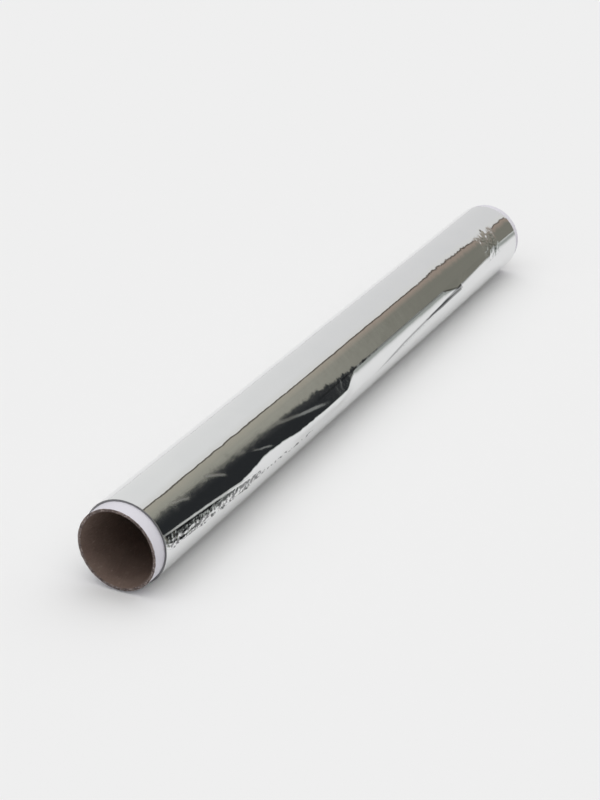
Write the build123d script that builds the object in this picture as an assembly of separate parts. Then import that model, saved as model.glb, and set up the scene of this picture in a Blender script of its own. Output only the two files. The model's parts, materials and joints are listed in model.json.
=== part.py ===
from build123d import *
import os

# Household aluminium foil wound on a spirally glued cardboard core.
# Millimetres. The roll lies on its side: X runs along the core and +Z is up.
# The origin is on the surface that it lies on, under the middle of the core.

# Cardboard core
core_bore = 25.4       # inside diameter, one inch
core_wall = 1.0        # the glued plies together
left_stub = 5.5        # bare core past the foil at the -X end
right_stub = 4.5       # bare core past the foil at the +X end
rim_round = 0.2        # edges of the cut ends, pressed round by the knife

# Foil
foil_width = 290.0     # width of the strip, along the core
foil_build = 0.7       # all the turns together, from the core outwards
tail_angle = 170.0     # place of the strip's free edge, from +Y towards +Z
tail_step = 0.08       # how far the free edge stands off the turn below it
flat_depth = 0.12      # how far the soft turns are pressed flat under the roll

# Worked out from the values above
core_length = left_stub + foil_width + right_stub
core_radius = core_bore / 2 + core_wall
foil_radius = core_radius + foil_build
foil_start = -core_length / 2 + left_stub
axis_height = foil_radius - flat_depth
quarter_turn = 90


def winding_line():
    """Outer line of the turns: four quarter arcs about the corners of a small square, then the free edge.

    Each arc's radius is one side of the square more than the last, so the line winds outwards by
    four sides in a turn, which is the step at the free edge.
    """
    side = tail_step / 4
    centre = Vector(-side / 2, side / 2).rotate(Axis.Z, tail_angle)
    radius = foil_radius - tail_step / 2 + side / 2
    arcs = []
    for quarter in range(4):
        start_angle = tail_angle + quarter * quarter_turn
        arcs.append(CenterArc(centre, radius, start_angle, quarter_turn))
        towards_next = Vector(1, 0).rotate(Axis.Z, start_angle + quarter_turn)
        centre = centre - towards_next * side
        radius = radius + side
    free_edge = Line(arcs[-1] @ 1, arcs[0] @ 0)
    return arcs + [free_edge]


def make_foil():
    """The wound strip: the ring between the core and the outer line, pressed flat where it lies."""
    start_plane = Plane.YZ.offset(foil_start)
    with BuildPart() as foil:
        with BuildSketch(start_plane):
            with BuildLine():
                for edge in winding_line():
                    add(edge)
            make_face()
            Circle(core_radius, mode=Mode.SUBTRACT)
        extrude(amount=foil_width)
        under_the_roll = Pos(foil_start + foil_width / 2, 0, -axis_height)
        with Locations(under_the_roll):
            Box(
                foil_width,
                2 * foil_radius,
                foil_radius,
                align=(Align.CENTER, Align.CENTER, Align.MAX),
                mode=Mode.SUBTRACT,
            )
    return foil.part


def make_core():
    """The paper tube, open from end to end, with the edges of its cut ends slightly rounded."""
    with BuildPart() as core:
        with BuildSketch(Plane.YZ.offset(-core_length / 2)):
            Circle(core_radius)
            Circle(core_bore / 2, mode=Mode.SUBTRACT)
        extrude(amount=core_length)
        fillet(core.edges().filter_by(GeomType.CIRCLE), radius=rim_round)
    return core.part


lift_onto_surface = Pos(0, 0, axis_height)
nodes = {
    "cardboard_core": make_core(),
    "foil_winding": make_foil(),
}

os.makedirs("parts", exist_ok=True)
for name, part in nodes.items():
    export_step(lift_onto_surface * part, f"parts/{name}.step")
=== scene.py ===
"""Looks of a household aluminium foil roll, lying on a pale floor.

Bright foil with a loose, creased outer lap is wound on a white-faced cardboard core that stands
out at both ends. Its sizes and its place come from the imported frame.
"""
import json
import math

import bpy
import numpy as np
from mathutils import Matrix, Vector


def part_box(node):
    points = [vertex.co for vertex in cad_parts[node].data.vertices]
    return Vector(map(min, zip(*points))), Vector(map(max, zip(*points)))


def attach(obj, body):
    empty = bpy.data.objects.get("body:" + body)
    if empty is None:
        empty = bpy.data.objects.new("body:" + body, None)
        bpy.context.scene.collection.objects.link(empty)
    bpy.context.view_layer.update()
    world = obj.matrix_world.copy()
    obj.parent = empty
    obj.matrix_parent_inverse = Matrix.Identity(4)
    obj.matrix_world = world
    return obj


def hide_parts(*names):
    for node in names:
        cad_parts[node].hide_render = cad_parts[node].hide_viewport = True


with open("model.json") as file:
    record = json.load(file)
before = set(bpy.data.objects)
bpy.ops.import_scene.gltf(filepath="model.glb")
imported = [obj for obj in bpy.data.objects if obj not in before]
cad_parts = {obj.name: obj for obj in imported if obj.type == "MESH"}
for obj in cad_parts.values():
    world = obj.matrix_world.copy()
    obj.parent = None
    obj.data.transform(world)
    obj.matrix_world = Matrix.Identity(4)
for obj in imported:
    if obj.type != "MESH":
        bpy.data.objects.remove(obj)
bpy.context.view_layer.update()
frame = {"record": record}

MM = 0.001
DEGREE = math.pi / 180
HALF_TURN = 180
FULL_TURN = 360

# ---------------------------------------------------------------- sizes from the frame
mounts = {mount["name"]: mount for mount in frame["record"]["mounts"]}
bore_mount = mounts["core_bore"]
core_low, core_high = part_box("cardboard_core")
foil_low, foil_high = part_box("foil_winding")
AXIS_HEIGHT = bore_mount["pos_m"][2]
BORE_RADIUS = bore_mount["dims"]["r_mm"] * MM
CORE_RADIUS = core_high.z - AXIS_HEIGHT
FOIL_RADIUS = foil_high.z - AXIS_HEIGHT
FOIL_START = foil_low.x
FOIL_END = foil_high.x
FOIL_WIDTH = FOIL_END - FOIL_START

# ---------------------------------------------------------------- curves and noise
NOISE_CELLS = 64      # the random numbers repeat after this many cells
LINE_SAMPLES = 9      # samples in the mean that rounds a line's corners


def smooth_step(value, low, high):
    """0 below low, 1 above high; between them 3 times the share squared less 2 times it cubed."""
    share = np.clip((value - low) / (high - low), 0.0, 1.0)
    return share * share * (3.0 - 2.0 * share)


def window(value, low, high, soft):
    """1 between low and high, falling smoothly to 0 over the distance soft outside them."""
    return smooth_step(value, low - soft, low) * (1.0 - smooth_step(value, high, high + soft))


def hump(value, middle, half_width):
    """A bell curve: e to the power of minus the square of (value less middle) over half_width."""
    return np.exp(-((value - middle) / half_width) ** 2)


def through(along, points, rounding):
    """A line through a few (place, value) points, its corners rounded by a mean over rounding."""
    places, values = zip(*points)
    shifts = np.linspace(-0.5, 0.5, LINE_SAMPLES) * rounding
    return np.mean([np.interp(along + shift, places, values) for shift in shifts], axis=0)


def random_corners(u, v, seed):
    """Random numbers at the four corners of the cell that (u, v) lies in, and the place in that cell."""
    values = np.random.default_rng(seed).uniform(-1.0, 1.0, (NOISE_CELLS, NOISE_CELLS))
    cell_u = np.floor(u).astype(int)
    cell_v = np.floor(v).astype(int)
    here_u, next_u = cell_u % NOISE_CELLS, (cell_u + 1) % NOISE_CELLS
    here_v, next_v = cell_v % NOISE_CELLS, (cell_v + 1) % NOISE_CELLS
    corners = values[here_u, here_v], values[next_u, here_v], values[here_u, next_v], values[next_u, next_v]
    return corners, u - cell_u, v - cell_v


def lattice(u, v, seed):
    """Value noise between -1 and 1: the four corners mixed by the smooth step of the place across."""
    (first, right, above, across), share_u, share_v = random_corners(u, v, seed)
    share_u = smooth_step(share_u, 0.0, 1.0)
    share_v = smooth_step(share_v, 0.0, 1.0)
    low = first * (1 - share_u) + right * share_u
    high = above * (1 - share_u) + across * share_u
    return low * (1 - share_v) + high * share_v


def facets(u, v, seed):
    """The flat facets of crushed foil: each cell is two flat triangles through its random corners."""
    (first, right, above, across), share_u, share_v = random_corners(u, v, seed)
    lower = first + (right - first) * share_u + (above - first) * share_v
    upper = across + (above - across) * (1 - share_u) + (right - across) * (1 - share_v)
    return np.where(share_u + share_v < 1.0, lower, upper)


# ---------------------------------------------------------------- meshes
QUAD = 4              # corners of a face


def closed_grid(name, points, material_rows):
    """A mesh on a grid of points, rows by columns, that wraps round both ways.

    Each face joins a point to the next column, the next row and next column, and the next row.
    material_rows gives the material of each row of faces.
    """
    rows, columns = points.shape[:2]
    index = np.arange(rows * columns).reshape(rows, columns)
    next_row = np.roll(index, -1, axis=0)
    next_column = np.roll(index, -1, axis=1)
    opposite = np.roll(next_row, -1, axis=1)
    quads = np.stack([index, next_column, opposite, next_row], axis=-1).reshape(-1, QUAD)
    first_corners = np.arange(0, quads.size, QUAD, dtype=np.int32)
    mesh = bpy.data.meshes.new(name)
    mesh.vertices.add(rows * columns)
    mesh.vertices.foreach_set("co", points.reshape(-1).astype(np.float32))
    mesh.loops.add(quads.size)
    mesh.loops.foreach_set("vertex_index", quads.reshape(-1).astype(np.int32))
    mesh.polygons.add(len(quads))
    mesh.polygons.foreach_set("loop_start", first_corners)
    mesh.polygons.foreach_set("loop_total", np.full(len(quads), QUAD, dtype=np.int32))
    mesh.polygons.foreach_set("material_index", np.repeat(material_rows, columns).astype(np.int32))
    mesh.update(calc_edges=True)
    mesh.validate()
    mesh.shade_smooth()
    piece = bpy.data.objects.new(name, mesh)
    bpy.context.scene.collection.objects.link(piece)
    return piece


def add_attribute(piece, name, values):
    """Gives each vertex a number that the material reads."""
    layer = piece.data.attributes.new(name, "FLOAT", "POINT")
    layer.data.foreach_set("value", values.reshape(-1).astype(np.float32))


# ---------------------------------------------------------------- lines on the foil
# Angles run round the roll from +Y over the top (90) to the -Y side (180), in degrees.
# Places run along the foil from its -X end, and heights stand off the round roll, both in mm.
# x is a column of places, one for each row of the grid, and angle has a number for each point.
RADIUS = FOIL_RADIUS / MM
WIDTH = FOIL_WIDTH / MM
CORE = CORE_RADIUS / MM
SHEET = 0.03          # the loose lap's thickness, a little more than the real foil's
TURN_RISE = 0.08      # how far the winding's outside climbs in one turn
LAP_FACING = 155.3    # angle at which a round roll mirrors the horizon of the room
MOST_LIFT = 0.78      # the lap never stands further off the roll than this
MOST_DENT = 0.12      # and is never pressed in further than this
BOTTOM = 270          # angle of the roll's underside
SINK_START = 0.5      # a straight stretch begins to sink back this many degrees past its end
SINK_END = 16.0       # and lies on the round again this many past it
DARK_TILT = 1.6       # the cut-off corner faces this many degrees over the horizon
DARK_BAND = 10.5      # degrees from the crease to the end of the smooth dark band below it

FREE_EDGE_POINTS = [(0, 175), (6, 179), (30, 183), (97, 193), (140, 191), (175, 183), (222, 174), (290, 166)]
DENT_POINTS = [
    (0, 157), (19, 162.5), (31, 166.5), (46, 171.5), (55, 169), (63, 165.5),
    (74, 167), (87, 172.5), (118, 174.5), (125, 173), (129, 164), (135, 155),
]
CREASE_POINTS = [(0, 158.2), (12, 161.8), (31, 167.2), (46, 172.5), (58, 177), (80, 187), (100, 192)]
FAR_FOLD_POINTS = [(150, 189), (174, 179.5), (201, 174), (215, 172.5), (232, 171)]
LEAF_POINTS = [(150, 0.5), (190, 0.9), (204, 2.2), (222, 5.0), (229, 6.0), (230.5, 0.4)]
SHOULDER_POINTS = [(212, 153), (218, 162), (226, 167), (250, 163), (262, 161)]

# Sharp backs of creases that scatter light: strength, half width in mm, and the line's points.
SCUFFED_LINES = [
    (0.42, 1.05, [(66, 137), (77, 143), (97, 159), (113, 170)]),
    (0.50, 1.10, [(9, 131), (21, 144)]),
    (0.55, 1.10, [(29, 131), (42, 153)]),
    (0.40, 0.70, [(56, 147), (71, 163)]),
    (0.40, 0.90, [(49, 137), (56, 146)]),
]
CORNER_SCUFF_POINTS = [(-9, 156), (12, 161.6), (31, 166.8), (46, 171.5), (66, 179)]

# Painted shade for creases that stay dark, painted into the foil's colour: the long fold, the round groove,
# and the line where the dents begin.
SHADED_LINES = [
    (0.62, 0.80, [(146, 190), (174, 179), (201, 173.6), (216, 172), (226, 172)]),
    (0.80, 0.35, [(229.2, 166), (230.6, 172), (232.6, 186)]),
    (0.75, 0.60, [(96, 155.9), (150, 155.9), (214, 155.9), (226, 166.5), (252, 165)]),
]


def arc_length(angle):
    """Distance round the roll: the angle in radians times the roll's radius."""
    return angle * DEGREE * RADIUS


def free_edge(x):
    """Angle of the foil's free edge: it hangs lower in the middle than at its corners, and is ragged."""
    bow = through(x, FREE_EDGE_POINTS, 20)
    ragged = 0.9 * lattice(x / 3.1, x * 0, 11) + 0.7 * lattice(x / 1.1, x * 0, 12)
    return bow + ragged * window(x, 3, 100, 12)


def dent_end(x):
    """Angle at which the long flat dent of the lap ends, along the nearer half of the roll."""
    return through(x, DENT_POINTS, 3) + 0.5 * lattice(x / 2.3, x * 0, 15)


def crease_line(x):
    """Angle of the sharp crease that cuts off the corner of the lap."""
    return through(x, CREASE_POINTS, 4)


def dark_end(x):
    """Angle at which the smooth dark band below that crease ends and the pleats begin."""
    return crease_line(x) + DARK_BAND


def far_fold_line(x):
    """Angle of the long fold in the lap's farther half, which climbs from the free edge."""
    return through(x, FAR_FOLD_POINTS, 8)


def line_mark(x, angle, points, half_width):
    """1 on a line drawn through (place, angle) points, fading to 0 at half_width beside it.

    The distance to the line is the distance round the roll over the square root of 1 plus the
    slope squared. The mark also fades over the first and the last quarter of its length.
    """
    places, angles = zip(*points)
    drawn = np.interp(x, places, angles)
    slope = arc_length(np.gradient(drawn[:, 0], x[:, 0])[:, None])
    away = arc_length(np.abs(angle - drawn)) / np.sqrt(1 + slope ** 2)
    quarter = (places[-1] - places[0]) / 4
    along = window(x, places[0] + quarter, places[-1] - quarter, quarter)
    return (1 - smooth_step(away, 0.0, half_width)) * along


# ---------------------------------------------------------------- the lap's heights
def flat_lift(angle, start, end):
    """Lift of a sheet that leaves the round at start, runs straight to end, and then sinks back.

    The straight part stands off by the radius times (1 over the cosine of the angle run, less 1).
    """
    run = np.clip(angle - start, 0.0, np.maximum(end - start, 0.0)) * DEGREE
    lift = RADIUS * (1.0 / np.cos(run) - 1.0)
    return lift * (1.0 - smooth_step(angle, end + SINK_START, end + SINK_END))


def facing_lift(angle, facing, start):
    """Lift of a sheet that from start on keeps facing one way.

    It is the radius times the natural logarithm of one cosine over another: that of start less
    facing, over that of angle less facing. The lift stops growing 60 degrees past facing.
    """
    begin = (start - facing) * DEGREE
    here = (np.clip(angle, start, facing + 60) - facing) * DEGREE
    return RADIUS * np.log(np.cos(begin) / np.cos(here))


def flat_dent(x, angle):
    """The long flat dent, which starts where the roll mirrors the horizon."""
    return flat_lift(angle, LAP_FACING, dent_end(x)) * (1 - smooth_step(x, 134, 137))


def cut_off_corner(x, angle):
    """The corner of the lap past its crease, which keeps facing the dark just over the horizon."""
    return facing_lift(angle, LAP_FACING - DARK_TILT, crease_line(x) + 0.7) * window(x, 0, 46, 12)


def corner_pleats(x, angle):
    """Depth of the small pleats in the corner, side by side round the roll.

    Each rises slowly, facing the horizon, and drops back quickly. The rise over its run is the
    tangent of the angle past the horizon's, and noise makes the pleats wander along the roll.
    """
    run = 1.5
    rising = 0.74
    arc = arc_length(angle)
    wander = 0.55 * lattice(x / 3.5, arc / 6, 61) + 0.25 * lattice(x / 1.2, arc / 2, 62)
    phase = (arc / run + wander) % 1.0
    tooth = np.where(phase < rising, phase / rising, (1 - phase) / (1 - rising))
    slope = np.tan(np.clip(angle - LAP_FACING + 2, 0, 30) * DEGREE)
    depth = (1 - tooth) * slope * run * rising
    begun = smooth_step(angle, dark_end(x) - 2, dark_end(x) + 1)
    return 0.8 * window(x, 5, 60, 8) * begun * depth


def crushed_corner(x, angle):
    """Crushed facets past the crease and along the free edge, and a pinch at the very corner."""
    arc = arc_length(angle)
    edge = free_edge(x)
    past_crease = smooth_step(angle, crease_line(x) + 0.2, crease_line(x) + 1.4)
    corner = window(x, 2, 58, 8) * past_crease
    trail = 0.8 * window(x, 60, 96, 6) * window(angle, edge - 5, edge, 2)
    coarse = 0.06 * facets(x / 1.35 + arc / 2.0, arc / 0.85, 21)
    fine = 0.03 * facets(x / 0.7, arc / 0.7 + x / 2, 22)
    past_dark = smooth_step(angle, dark_end(x) - 4, dark_end(x) - 1) + (x > 40)
    crushed = (corner + trail) * (coarse + fine) * np.clip(past_dark, 0.15, 1)
    pinch = window(x, 1.5, 7, 2.5) * window(angle, 158, edge, 3) * 0.14 * facets(x / 1.2, arc / 1.2 + x, 23)
    return crushed + pinch * past_crease


def far_fold(x, angle):
    """The long fold: a straight leaf-shaped flat with a ridge along its middle, and small crinkles."""
    fold = far_fold_line(x)
    leaf = through(x, LEAF_POINTS, 0.8)
    lift = flat_lift(angle, fold - leaf, fold + leaf) + 0.05 * hump(angle, fold, 0.9)
    crinkle = 0.05 * facets(x / 1.6, arc_length(angle) / 1.2, 24)
    crinkled = window(x, 168, 196, 5) * window(angle, fold - 3, fold + 3, 2)
    return 2.0 * lift * window(x, 152, 228, 2.5) + crinkle * crinkled


def far_shoulder(x, angle):
    """The flat above the fold's far end, where the lap sags towards its corner."""
    return flat_lift(angle, 153.0, through(x, SHOULDER_POINTS, 3)) * window(x, 216, 262, 3)


def round_groove(x, angle):
    """Depth of the narrow groove that runs nearly straight round the roll at the fold's end."""
    middle = 230.6 + 0.12 * (angle - 170)
    return 0.11 * hump(x, middle, 0.45) * window(angle, 167, 187, 2)


def crumpled_ring(x, angle):
    """The crumpled band round the roll near the far end, with one sharp point above it."""
    arc = arc_length(angle)
    coarse = 0.09 * facets(x / 2.1 + arc / 6, arc / 2.4, 25)
    fine = 0.04 * facets(x / 1.0, arc / 1.3 + x / 3, 26)
    point = 0.12 * hump(x, 267.5, 1.0) * window(angle, 114, 128, 3)
    return window(x, 260, 271, 3) * window(angle, 126, 171, 7) * (coarse + fine) + point


def lap_height(x, angle):
    """Height of the outer lap over the round: its flats, less its pleats and groove, plus its folds."""
    flats = np.minimum(flat_dent(x, angle) + cut_off_corner(x, angle), MOST_LIFT)
    height = flats - corner_pleats(x, angle) + crushed_corner(x, angle)
    height = height + far_fold(x, angle) + far_shoulder(x, angle)
    height = height - round_groove(x, angle) + crumpled_ring(x, angle)
    return np.clip(height, -MOST_DENT, MOST_LIFT)


def unevenness(x, turn, angle):
    """Slow unevenness of the whole winding: long waves, soft flat facets, jags, and one low bulge."""
    long_waves = 0.022 * lattice(x / 34 + turn / 90, turn / 45, 31) + 0.008 * lattice(x / 11, turn / 22, 32)
    soft_facets = 0.012 * facets(x / 17 + turn / 60, turn / 26, 33)
    jags = 0.010 * lattice(x / 3.2, turn / 9, 34) * (1 - smooth_step(x, 55, 85))
    bulge = 0.20 * hump(angle, 106, 13) * window(x, 222, 246, 20)
    return long_waves + soft_facets + jags + bulge


# ---------------------------------------------------------------- the foil's mesh
ROWS_ALONG = 600
EDGE_ROW = 0.06       # a row this close to each end keeps the ends' edges crisp
NEXT_ROW = 0.4        # and the even rows start here
UNDER_LAP = 20        # the turn is also finely divided this many degrees past the free edge
LAP_BEGINS = 286      # and from here on, where the visible lap begins
POCKET_SLOPE = 12     # degrees that the pocket under the free edge goes in, for each mm of its lift
POCKET_LEAST = 0.2
POCKET_MOST = 10.0
END_TURNS = 1         # place of the cut turns' material in the foil's slots


def turn_angles():
    """Angles along one turn from the free edge round to itself, closer together over the visible lap."""
    under = np.linspace(0, UNDER_LAP, 16)
    back = np.linspace(UNDER_LAP, LAP_BEGINS, 62)[1:]
    lap = np.linspace(LAP_BEGINS, FULL_TURN, 72)[1:]
    return np.concatenate([under, back, lap])


def foil_grid():
    """Place, angle and radius of the winding's outside.

    Columns go from the bottom of the pocket under the lap, once round the roll, over the lap to its
    free edge, and back beneath it. Each row is one place along the roll. The radius is that of a
    spiral, which climbs evenly by TURN_RISE in a turn, plus the lap's height and the unevenness.
    """
    even = np.linspace(NEXT_ROW, WIDTH - NEXT_ROW, ROWS_ALONG)
    x = np.concatenate([[0.0, EDGE_ROW], even, [WIDTH - EDGE_ROW, WIDTH]])[:, None]
    edge = free_edge(x)
    turn = turn_angles()[None, :]
    on_lap = turn > HALF_TURN
    angle = edge + turn
    place_angle = np.where(on_lap, angle - FULL_TURN, angle)
    lap = np.where(on_lap, lap_height(x, place_angle), 0.0)
    at_ends = smooth_step(x, 0.0, 1.2) * (1 - smooth_step(x, WIDTH - 1.0, WIDTH))
    spiral = TURN_RISE * (turn / FULL_TURN - 0.5)
    uneven = unevenness(x, turn, place_angle)
    radius = RADIUS - TURN_RISE / 2 + spiral + (lap + uneven) * at_ends

    lift = np.maximum(radius[:, -1:] - radius[:, :1], SHEET * 1.5)
    radius[:, -1:] = radius[:, :1] + lift
    pocket = np.clip(lift * POCKET_SLOPE, POCKET_LEAST, POCKET_MOST)
    share = np.array([0.0, 0.35, 0.7])
    under_angle = edge + FULL_TURN - pocket * share
    under_radius = radius[:, -1:] - SHEET - (lift - SHEET * 1.2) * share ** 0.8
    angle = np.concatenate([edge - pocket, angle, under_angle], axis=1)
    radius = np.concatenate([radius[:, :1], radius, under_radius], axis=1)
    return x, angle, radius


def scuffs(x, angle):
    """Creases whose sharp back scatters light: a pale line in whatever the foil mirrors."""
    wander = 0.7 * lattice(x / 2.6, angle / 40, 45)
    marks = line_mark(x, angle, CORNER_SCUFF_POINTS, 0.5)
    for strength, half_width, points in SCUFFED_LINES:
        marks = marks + strength * line_mark(x, angle + wander, points, half_width)
    return np.clip(marks, 0, 1)


def shaded_creases(x, angle):
    """Share of painted shade in the foil's colour, at creases that stay dark because their walls mirror each
    other.

    Besides the drawn lines there is a painted dark leaf beside the long fold, and painted dark flecks, where
    noise is over a limit, in the crumpled ring, the crushed corner and the trail along the free edge.
    """
    edge = free_edge(x)
    fold = far_fold_line(x)
    spread = np.interp(x, [190, 204, 222, 229], [0.0, 1.6, 5.4, 7.0])
    # painted shade: a dark leaf painted beside the long fold
    marks = 0.66 * window(x, 196, 229.3, 0.6) * window(angle, fold - spread * 0.9, fold + spread, 0.6)
    for strength, half_width, points in SHADED_LINES:
        marks = marks + strength * line_mark(x, angle, points, half_width)
    ring = window(x, 261, 270, 2) * window(angle, 130, 170, 4)
    # painted shade: dark flecks painted where noise is over a limit
    ring_painted_shade = ring * (lattice(x / 0.8, angle / 2.2, 41) > 0.3)
    corner = window(x, 2, 58, 6) * window(angle, crease_line(x) + 2, edge, 0.5)
    corner_painted_shade = corner * (lattice(x / 1.0 + angle / 5, angle / 2.4, 42) > -0.05)
    trail = window(x, 58, 97, 3) * window(angle, edge - 3.5, edge - 0.5, 0.7)
    trail_painted_shade = trail * (lattice(x / 1.3, angle / 2.0, 43) > 0.12)
    return np.clip(marks + 0.3 * ring_painted_shade + 0.8 * corner_painted_shade + 0.8 * trail_painted_shade, 0, 1)


def crushed_places(x, angle):
    """Where the foil is crushed fine: in the near corner, in the crumpled ring, and on the long fold."""
    corner = window(x, 2, 60, 6) * window(angle, crease_line(x) + 4, free_edge(x), 2.5)
    ring = window(x, 259, 272, 4) * window(angle, 124, 172, 7)
    fold = window(x, 168, 198, 6) * window(angle, 170, 184, 4)
    return np.clip(corner + 0.7 * ring + 0.5 * fold, 0, 1)


def towards_core(row, share):
    """A copy of an end row, its radius moved the given share of the way down to the core's."""
    moved = row.copy()
    moved[:, 2] = row[:, 2] * (1 - share) + CORE * share
    return moved


def make_foil():
    """The whole winding as one closed skin, with its marked places as vertex values.

    Rows go along the outside, down the far end to the core, through to the near end, and up it. A
    point stands off the axis by its radius times the cosine and the sine of its angle.
    """
    x, angle, radius = foil_grid()
    rows = len(x)
    outside = np.stack([x + 0 * angle, angle, radius], axis=-1)
    down = (0.04, 0.35, 0.7, 1.0)
    far_end = np.stack([towards_core(outside[-1], share) for share in down])
    near_end = np.stack([towards_core(outside[0], share) for share in reversed(down)])
    grid = np.concatenate([outside, far_end, near_end])
    material_rows = np.zeros(len(grid), int)
    material_rows[rows - 1:rows - 1 + len(down)] = END_TURNS
    material_rows[rows + len(down):] = END_TURNS

    theta = grid[..., 1] * DEGREE
    reach = grid[..., 2] * MM
    along = grid[..., 0] * MM + FOIL_START
    up = np.maximum(AXIS_HEIGHT + reach * np.sin(theta), 0.0)
    points = np.stack([along, reach * np.cos(theta), up], axis=-1)
    piece = closed_grid("foil_winding_skin", points, material_rows)

    lap_angle = np.where(angle > BOTTOM, angle - FULL_TURN, 0.0)
    marks = {
        "crushed": crushed_places(x, lap_angle),
        "scuff": scuffs(x, lap_angle),
        # the crease mark is painted shade: the foil material darkens its colour by it
        "crease": shaded_creases(x, lap_angle),
    }
    for name, values in marks.items():
        whole = np.zeros(grid.shape[:2])
        whole[:rows] = values
        add_attribute(piece, name, whole)
    return piece


# ---------------------------------------------------------------- the core's shape
PLY_PITCH = 0.062             # step of one turn of the wound paper plies, along the core
PLY_GROOVE = 0.12 * MM        # depth of the groove where one ply's edges meet
PLY_GROOVE_HALF = 0.45 * MM   # and its half width
DIMPLES = 0.05 * MM           # depth of the small dimples in the paper
TORN = 0.38 * MM              # the cut ends are torn back by up to this
TORN_FADE = 1.4 * MM          # and the tear's shape dies out over this
RIM = 0.15 * MM               # rounding of the cut ends' edges
TUCK = 1.0 * MM               # how far the outer face goes on under the foil
OVAL = 0.004                  # share of the radius by which the tube is out of round
ROUND_CORE = 420              # points round the core
PAPER, BOARD, CUT = 0, 1, 2   # places of the materials in the core's slots


def torn_rims(along, reach, degrees):
    """How far each point moves along the core: noise, fading with the distance from each cut end."""
    coarse = 0.5 + 0.5 * lattice(degrees / 2.6, reach / (0.25 * MM), 51)
    fine = 0.5 + 0.5 * lattice(degrees / 1.1, reach / (0.2 * MM), 52)
    near_rim = np.clip(1 - (along - core_low.x) / TORN_FADE, 0, 1)
    far_rim = np.clip(1 - (core_high.x - along) / TORN_FADE, 0, 1)
    return (near_rim - far_rim) * (0.6 * coarse + 0.4 * fine) * TORN


def make_core():
    """The tube as one closed skin: outside, far cut end, bore and near cut end, carried round the axis.

    The cut ends are torn, and on the outside and in the bore a shallow groove follows the helix on
    which the place over the plies' pitch plus the angle over a full turn stays the same.
    """
    theta = np.linspace(0, 2 * math.pi, ROUND_CORE, endpoint=False)
    outer_x = np.concatenate([
        [core_low.x + RIM],
        np.linspace(core_low.x + 2 * RIM, FOIL_START + TUCK, 14),
        np.linspace(FOIL_END - TUCK, core_high.x - 2 * RIM, 14),
        [core_high.x - RIM],
    ])
    inner_x = np.concatenate([
        [core_high.x - RIM],
        np.linspace(core_high.x - 2 * RIM, core_low.x + 2 * RIM, 110),
        [core_low.x + RIM],
    ])
    wall = CORE_RADIUS - BORE_RADIUS
    cut = wall * np.array([0.12, 0.3, 0.5, 0.7, 0.88])
    profile_x = np.concatenate([
        outer_x,
        np.full(len(cut), core_high.x),
        inner_x,
        np.full(len(cut), core_low.x),
    ])[:, None]
    profile_radius = np.concatenate([
        np.full(len(outer_x), CORE_RADIUS),
        CORE_RADIUS - cut,
        np.full(len(inner_x), BORE_RADIUS),
        BORE_RADIUS + cut,
    ])[:, None]
    material_rows = np.concatenate([
        np.full(len(outer_x) - 1, PAPER),
        np.full(len(cut) + 1, CUT),
        np.full(len(inner_x) - 1, BOARD),
        np.full(len(cut) + 1, CUT),
    ])

    degrees = np.degrees(theta)[None, :]
    along = profile_x + torn_rims(profile_x, profile_radius, degrees)
    dimple = 0.5 + 0.5 * lattice(degrees / 3.0, along / (1.2 * MM), 53)
    phase = (profile_x / PLY_PITCH + degrees / FULL_TURN) % 1.0
    groove = hump(phase * PLY_PITCH, PLY_PITCH / 2, PLY_GROOVE_HALF)
    into_paper = np.where(profile_radius < BORE_RADIUS + wall * 0.05, 1, -1)
    reach = profile_radius + into_paper * (DIMPLES * dimple + PLY_GROOVE * groove)
    reach = reach * (1 - OVAL * (1 + np.cos(2 * theta + 0.9)))
    points = np.stack([along, reach * np.cos(theta), AXIS_HEIGHT + reach * np.sin(theta)], axis=-1)
    return closed_grid("cardboard_core_skin", points, material_rows)


# ---------------------------------------------------------------- materials
MIX_SHARE, MIX_FIRST, MIX_SECOND, MIX_RESULT = 0, 6, 7, 2    # a colour Mix node's sockets


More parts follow.
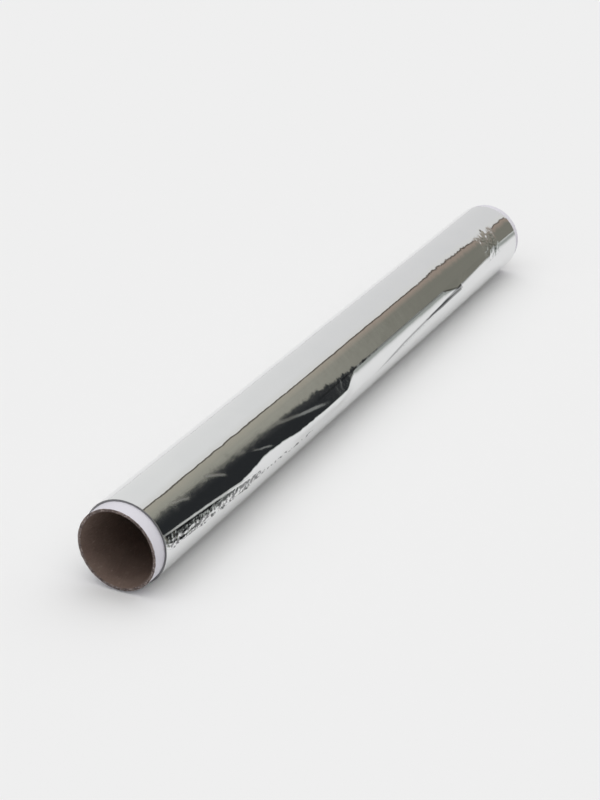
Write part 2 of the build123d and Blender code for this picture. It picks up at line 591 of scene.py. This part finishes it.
class Graph:
    """Short hands for building a node tree."""

    def __init__(self, tree):
        self.tree = tree

    def node(self, kind, **settings):
        """A new node of this kind with these settings."""
        made = self.tree.nodes.new(kind)
        for key, value in settings.items():
            setattr(made, key, value)
        return made

    def feed(self, socket, value):
        """Links an output to the socket, or sets a plain value on it."""
        if isinstance(value, bpy.types.NodeSocket):
            self.tree.links.new(value, socket)
        else:
            socket.default_value = value

    def maths(self, operation, first, second=0.0):
        """One operation on two numbers."""
        made = self.node("ShaderNodeMath", operation=operation)
        self.feed(made.inputs[0], first)
        self.feed(made.inputs[1], second)
        return made.outputs[0]

    def plus(self, first, second):
        """first plus second."""
        return self.maths("ADD", first, second)

    def minus(self, first, second):
        """first less second."""
        return self.maths("SUBTRACT", first, second)

    def times(self, first, second):
        """first times second."""
        return self.maths("MULTIPLY", first, second)

    def step(self, value, low, high):
        """0 below low, 1 above high, and smooth between."""
        made = self.node("ShaderNodeMapRange", interpolation_type="SMOOTHSTEP")
        self.feed(made.inputs["Value"], value)
        self.feed(made.inputs["From Min"], low)
        self.feed(made.inputs["From Max"], high)
        return made.outputs["Result"]

    def fall(self, value, low, high):
        """1 below low, 0 above high, and smooth between."""
        return self.minus(1.0, self.step(value, low, high))

    def mix(self, share, first, second):
        """A colour the given share of the way from first to second."""
        made = self.node("ShaderNodeMix", data_type="RGBA")
        self.feed(made.inputs[MIX_SHARE], share)
        self.feed(made.inputs[MIX_FIRST], first)
        self.feed(made.inputs[MIX_SECOND], second)
        return made.outputs[MIX_RESULT]

    def noise(self, place, scale, detail):
        """Cloudy noise about 0.5, in space."""
        made = self.node("ShaderNodeTexNoise")
        self.feed(made.inputs["Vector"], place)
        made.inputs["Scale"].default_value = scale
        made.inputs["Detail"].default_value = detail
        return made.outputs["Fac"]

    def wave_noise(self, value, detail):
        """Cloudy noise about 0.5, along a line."""
        made = self.node("ShaderNodeTexNoise", noise_dimensions="1D")
        self.feed(made.inputs["W"], value)
        made.inputs["Detail"].default_value = detail
        return made.outputs["Fac"]

    def place(self):
        """The place on the object, in metres."""
        return self.node("ShaderNodeTexCoord").outputs["Object"]

    def mapped(self, place, **settings):
        """The place after a Mapping node with these inputs."""
        made = self.node("ShaderNodeMapping")
        for key, value in settings.items():
            made.inputs[key].default_value = value
        self.feed(made.inputs["Vector"], place)
        return made.outputs[0]

    def attribute(self, name):
        """The vertex value of this name."""
        return self.node("ShaderNodeAttribute", attribute_name=name).outputs["Fac"]

    def bump(self, shader, height, distance):
        """Bump on the shader, distance metres deep where height goes from 0 to 1."""
        made = self.node("ShaderNodeBump")
        made.inputs["Distance"].default_value = distance
        self.feed(made.inputs["Height"], height)
        self.feed(shader.inputs["Normal"], made.outputs[0])


def new_material(name, colour, roughness, metallic=0.0):
    """A material with these plain values, its node helper and its shader."""
    material = bpy.data.materials.new(name)
    material.use_nodes = True
    shader = material.node_tree.nodes["Principled BSDF"]
    shader.inputs["Base Color"].default_value = (*colour, 1.0)
    shader.inputs["Roughness"].default_value = roughness
    shader.inputs["Metallic"].default_value = metallic
    return material, Graph(material.node_tree), shader


def bright_foil():
    """Rolled aluminium: mirror-bright, faintly uneven, crushed and scuffed as its marks say, with painted
    shade darkening its colour in the creases.
    """
    material, g, shader = new_material("bright_foil", (0.81, 0.81, 0.815), 0.04, 1.0)
    duller, brighter = (0.785, 0.795, 0.80, 1), (0.83, 0.83, 0.83, 1)
    # painted shade: the near-black colour mixed into the foil along its creases
    shaded = (0.07, 0.07, 0.075, 1)
    place = g.place()
    cloud = g.noise(place, 70.0, 3.0)
    crushed = g.attribute("crushed")
    # painted shade: the crease mark darkens the foil's colour toward the shaded colour
    colour = g.mix(g.attribute("crease"), g.mix(cloud, duller, brighter), shaded)
    g.feed(shader.inputs["Base Color"], colour)
    rough = g.plus(0.02, g.times(cloud, 0.035))
    rough = g.plus(rough, g.times(g.attribute("scuff"), 0.5))
    rough = g.plus(rough, g.times(crushed, 0.08))
    g.feed(shader.inputs["Roughness"], rough)
    cells = g.node("ShaderNodeTexVoronoi", feature="F1")
    g.feed(cells.inputs["Vector"], place)
    cells.inputs["Scale"].default_value = 1100.0
    crinkle = g.times(g.times(cells.outputs["Distance"], crushed), 0.10)
    ripple = g.times(g.noise(place, 160.0, 2.0), 0.10)
    grain = g.times(g.noise(place, 1400.0, 2.0), 0.004)
    g.bump(shader, g.plus(g.plus(ripple, grain), crinkle), 0.4 * MM)
    return material


def foil_end_turns():
    """The cut edges of the turns: fine dark and bright rings about the roll's axis."""
    material, g, shader = new_material("foil_end_turns", (0.3, 0.3, 0.3), 0.45, 1.0)
    dark, bright = (0.12, 0.12, 0.125, 1), (0.42, 0.42, 0.43, 1)
    centred = g.mapped(g.place(), Location=(0.0, 0.0, -AXIS_HEIGHT))
    rings = g.node("ShaderNodeTexWave", wave_type="RINGS", rings_direction="X")
    rings.inputs["Scale"].default_value = 1500.0
    rings.inputs["Distortion"].default_value = 1.5
    g.feed(rings.inputs["Vector"], centred)
    g.feed(shader.inputs["Base Color"], g.mix(rings.outputs["Fac"], dark, bright))
    g.bump(shader, rings.outputs["Fac"], 0.05 * MM)
    return material


def white_core_paper():
    """The core's outer ply: matt white paper with a cool cast, soft fibres and slight dirt."""
    material, g, shader = new_material("white_core_paper", (0.72, 0.705, 0.76), 0.8)
    darker, paler = (0.68, 0.665, 0.725, 1), (0.76, 0.745, 0.795, 1)
    dirt = (0.62, 0.60, 0.62, 1)
    place = g.place()
    fibre = g.noise(place, 900.0, 4.0)
    colour = g.mix(g.noise(place, 120.0, 3.0), darker, paler)
    g.feed(shader.inputs["Base Color"], g.mix(g.times(fibre, 0.25), colour, dirt))
    g.feed(shader.inputs["Roughness"], g.plus(0.68, g.times(fibre, 0.2)))
    g.bump(shader, fibre, 0.08 * MM)
    return material


def brown_board():
    """The raw brown plies inside the bore: mottled grey-brown paper with short fibres along the core."""
    material, g, shader = new_material("brown_board", (0.30, 0.22, 0.18), 0.92)
    darker, paler = (0.165, 0.110, 0.090, 1), (0.270, 0.200, 0.165, 1)
    pale_fibre = (0.48, 0.39, 0.33, 1)
    place = g.place()
    fibre = g.noise(g.mapped(place, Scale=(0.35, 1.0, 1.0)), 1500.0, 4.0)
    patch = g.noise(place, 180.0, 3.0)
    colour = g.mix(patch, darker, paler)
    g.feed(shader.inputs["Base Color"], g.mix(g.step(fibre, 0.58, 0.95), colour, pale_fibre))
    g.feed(shader.inputs["Roughness"], g.plus(0.8, g.times(patch, 0.15)))
    g.bump(shader, fibre, 0.2 * MM)
    return material


def cut_board():
    """The torn cut ends: dark grey-brown board with paler loose fibres."""
    material, g, shader = new_material("cut_board", (0.15, 0.115, 0.105), 0.95)
    darker, paler = (0.085, 0.062, 0.058, 1), (0.20, 0.155, 0.14, 1)
    pale_fibre = (0.42, 0.36, 0.34, 1)
    place = g.place()
    fibre = g.noise(place, 2600.0, 4.0)
    patch = g.noise(place, 500.0, 3.0)
    colour = g.mix(g.step(patch, 0.35, 0.65), darker, paler)
    g.feed(shader.inputs["Base Color"], g.mix(g.step(fibre, 0.52, 0.66), colour, pale_fibre))
    g.feed(shader.inputs["Roughness"], g.plus(0.85, g.times(fibre, 0.1)))
    g.bump(shader, fibre, 0.3 * MM)
    return material


# ---------------------------------------------------------------- the room round the roll
# along, across and up are the three numbers of a direction, each between -1 and 1. height is its
# angle over the -Y horizon in degrees, the same on a whole line along the room.
BACKGROUND = (0.863, 0.863, 0.863, 1.0)
SKY_EVEN, SKY_ABOVE, SKY_BEHIND = 0.3, 1.75, -0.25
TEETH_MIDDLE = 0.47   # about the middle value of the noise that makes the figure's ragged top


def room_light(g, across, up):
    """Soft light for all that is matt: even, stronger from above, and a little stronger from the -Y side."""
    rise = g.maths("MAXIMUM", up, 0.0)
    above = g.times(g.maths("POWER", rise, 3.0), SKY_ABOVE)
    behind = g.times(g.times(across, rise), SKY_BEHIND)
    return g.plus(g.plus(SKY_EVEN, above), behind)


def falling_line(g, along, value, place, slope):
    """A line that has the given value at the given place along, and falls by slope."""
    return g.minus(value + slope * place, g.times(along, slope))


def pale_sweep(g, along, below_edge):
    """The pale sweep overhead, a little greyer towards the far end and close to the wall."""
    near, far, low = (0.815, 0.82, 0.815, 1), (0.745, 0.745, 0.75, 1), (0.745, 0.745, 0.73, 1)
    pale = g.mix(g.step(along, 0.74, 0.88), near, far)
    return g.mix(g.step(below_edge, -22.0, -2.0), pale, low)


def tan_wall(g, along, height, below_edge):
    """The wall below the sweep: tan to olive, with faint level bands and a dark line along its edge."""
    lower = g.step(below_edge, 6.0, 26.0)
    near_wall = g.mix(lower, (0.42, 0.40, 0.335, 1), (0.36, 0.355, 0.305, 1))
    far_wall = g.mix(lower, (0.37, 0.30, 0.25, 1), (0.222, 0.218, 0.185, 1))
    wall = g.mix(g.step(along, 0.79, 0.86), near_wall, far_wall)
    bands = g.wave_noise(g.plus(g.times(height, 0.16), g.times(along, 12.0)), 2.0)
    wall = g.mix(g.times(g.step(bands, 0.35, 0.7), 0.22), wall, (0.10, 0.10, 0.085, 1))
    edge_line = g.minus(g.step(below_edge, -0.8, 0.4), g.step(below_edge, 2.0, 5.0))
    return g.mix(g.times(edge_line, 0.85), wall, (0.06, 0.052, 0.045, 1))


def dark_figure(g, along, height, wall):
    """The wall with a dark shape in front of it, ragged along its top, where it also gleams a little."""
    dark, gleaming = (0.022, 0.024, 0.026, 1), (0.30, 0.30, 0.28, 1)
    slant = g.plus(g.times(along, 8000.0), g.times(height, 2.5))
    tooth = g.minus(g.wave_noise(g.plus(g.times(slant, 1 / 46.0), 3.4), 3.0), TEETH_MIDDLE)
    ragged = g.times(g.times(tooth, 62.0), g.fall(along, 0.795, 0.82))
    shallow = falling_line(g, along, 44.0, 0.744, 250.0)
    steep = falling_line(g, along, 33.6, 0.802, 1110.0)
    top = g.plus(g.maths("MINIMUM", shallow, steep), ragged)
    depth = g.minus(top, height)
    inside = g.times(g.step(depth, -1.0, 1.5), g.step(along, 0.62, 0.66))
    gleam = g.times(g.fall(g.maths("ABSOLUTE", tooth), 0.0, 0.03), g.fall(depth, 4.0, 26.0))
    return g.mix(inside, wall, g.mix(g.times(gleam, 0.5), dark, gleaming))


def room_picture(g, along, across, up):
    """What the foil mirrors: a pale sweep overhead, and below its edge a tan wall and a dark shape."""
    height = g.times(g.maths("ARCTAN2", up, g.times(across, -1.0)), 1 / DEGREE)
    clamped = g.maths("MINIMUM", g.maths("MAXIMUM", along, 0.6), 0.95)
    near_edge = falling_line(g, clamped, 80.6, 0.744, 60.0)
    far_edge = falling_line(g, clamped, 76.0, 0.850, 480.0)
    below_edge = g.minus(g.maths("MINIMUM", near_edge, far_edge), height)
    wall = dark_figure(g, along, height, tan_wall(g, along, height, below_edge))
    floor_strip = g.times(g.fall(height, 2.6, 3.6), g.step(along, 0.826, 0.832))
    wall = g.mix(floor_strip, wall, (0.55, 0.57, 0.55, 1))
    return g.mix(g.step(below_edge, -1.0, 0.2), pale_sweep(g, along, below_edge), wall)


def make_world():
    """The room, with a plain pale background for the camera."""
    world = bpy.data.worlds.new("studio")
    bpy.context.scene.world = world
    world.use_nodes = True
    world.node_tree.nodes.clear()
    g = Graph(world.node_tree)
    parts = g.node("ShaderNodeSeparateXYZ")
    g.feed(parts.inputs[0], g.node("ShaderNodeTexCoord").outputs["Generated"])
    along, across, up = parts.outputs
    path = g.node("ShaderNodeLightPath")
    seen = g.mix(path.outputs["Is Glossy Ray"], room_light(g, across, up), room_picture(g, along, across, up))
    seen = g.mix(path.outputs["Is Camera Ray"], seen, BACKGROUND)
    background = g.node("ShaderNodeBackground")
    g.feed(background.inputs["Color"], seen)
    g.feed(g.node("ShaderNodeOutputWorld").inputs["Surface"], background.outputs[0])


def make_floor():
    """A pale paper floor, with painted shade that only the foil's mirror sees: greyer further out on the -Y
    side.
    """
    half = 4.0
    mirrored_painted_shade = (0.36, 0.38, 0.36, 1)
    corners = [(-half, -half, 0), (half, -half, 0), (half, half, 0), (-half, half, 0)]
    mesh = bpy.data.meshes.new("floor")
    mesh.from_pydata(corners, [], [(0, 1, 2, 3)])
    floor = bpy.data.objects.new("floor", mesh)
    bpy.context.scene.collection.objects.link(floor)
    material, g, shader = new_material("floor_paper", BACKGROUND[:3], 0.9)
    shader.inputs["Specular IOR Level"].default_value = 0.0
    parts = g.node("ShaderNodeSeparateXYZ")
    g.feed(parts.inputs[0], g.place())
    # painted shade seen only in the foil: on glossy rays the floor turns grey past 5 cm on the -Y side
    away = g.step(g.times(parts.outputs[1], -1.0), 0.05, 0.16)
    mirrored = g.node("ShaderNodeLightPath").outputs["Is Glossy Ray"]
    g.feed(shader.inputs["Base Color"], g.mix(g.times(away, mirrored), BACKGROUND, mirrored_painted_shade))
    mesh.materials.append(material)


# ---------------------------------------------------------------- the camera
CAMERA_AZIMUTH = -63.272 * DEGREE
CAMERA_ELEVATION = 25.396 * DEGREE
CAMERA_DISTANCE = 0.6611
CAMERA_LENS = 85.5            # in mm, as is the sensor's width
CAMERA_SENSOR = 36.0
AIM_FROM_MIDDLE = -0.0322     # the point aimed at, along the roll from its middle
AIM_ACROSS = -0.0019


def make_camera():
    """Looks down the roll from beyond its -X end, on the -Y side."""
    middle = (FOIL_START + FOIL_END) / 2
    aim = Vector((middle + AIM_FROM_MIDDLE, AIM_ACROSS, AXIS_HEIGHT))
    back = Vector((
        math.sin(CAMERA_AZIMUTH) * math.cos(CAMERA_ELEVATION),
        -math.cos(CAMERA_AZIMUTH) * math.cos(CAMERA_ELEVATION),
        math.sin(CAMERA_ELEVATION),
    ))
    data = bpy.data.cameras.new("camera")
    data.lens = CAMERA_LENS
    data.sensor_width = CAMERA_SENSOR
    data.clip_start = 0.01
    camera = bpy.data.objects.new("camera", data)
    camera.location = aim + back * CAMERA_DISTANCE
    camera.rotation_euler = back.to_track_quat("Z", "Y").to_euler()
    bpy.context.scene.collection.objects.link(camera)
    bpy.context.scene.camera = camera


# ---------------------------------------------------------------- the roll in its room
foil = make_foil()
foil.data.materials.append(bright_foil())
foil.data.materials.append(foil_end_turns())
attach(foil, "root")
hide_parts("foil_winding")

core = make_core()
core.data.materials.append(white_core_paper())
core.data.materials.append(brown_board())
core.data.materials.append(cut_board())
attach(core, "root")
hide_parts("cardboard_core")

make_floor()
make_world()
make_camera()
bpy.context.scene.view_settings.view_transform = "Standard"
